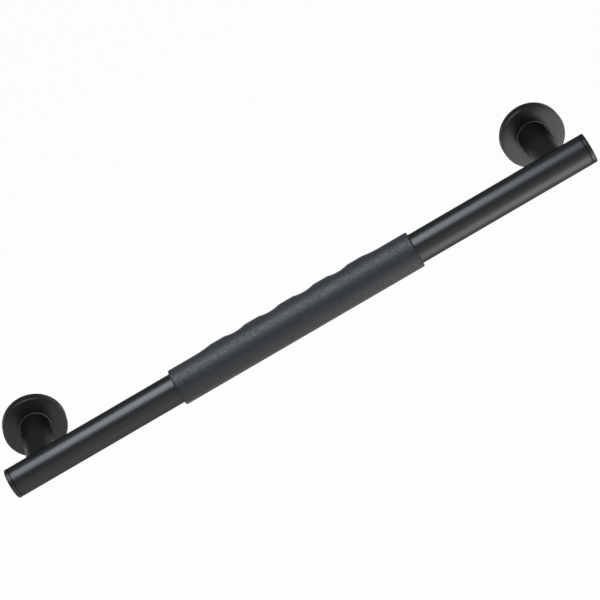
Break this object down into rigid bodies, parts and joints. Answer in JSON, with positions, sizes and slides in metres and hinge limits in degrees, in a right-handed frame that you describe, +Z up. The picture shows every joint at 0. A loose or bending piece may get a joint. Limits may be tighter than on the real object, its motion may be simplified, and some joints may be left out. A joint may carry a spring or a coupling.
{
  "type": "grab bar",
  "caption": "Straight round grab bar on saddle-cut posts with round wall flanges, end caps and a rubber grip sleeve ridged on its wall side.",
  "frame": {"origin": "on the wall plane, midway between the two posts, level with the bar", "axes": "+X along the bar to the viewer's right, +Y into the wall, +Z up"},
  "size_m": [0.665, 0.1153, 0.067],
  "materials": {
    "black_coat": "satin black coating on steel",
    "grip_rubber": "slate grey, matte, finely grained",
    "seal_rubber": "pale grey silicone, smooth",
    "plain_steel": "bare stainless steel, hidden in use"
  },
  "bodies": {
    "root": {"bar_tube": "black_coat", "end_cap_left": "black_coat", "end_cap_right": "black_coat", "post_left": "black_coat", "post_right": "black_coat", "flange_covers": "black_coat", "cover_seals": "seal_rubber", "grip_sleeve": "grip_rubber", "mounting_plates": "plain_steel", "tie_bolts": "plain_steel", "saddle_nuts": "plain_steel"}
  },
  "joints": []
}
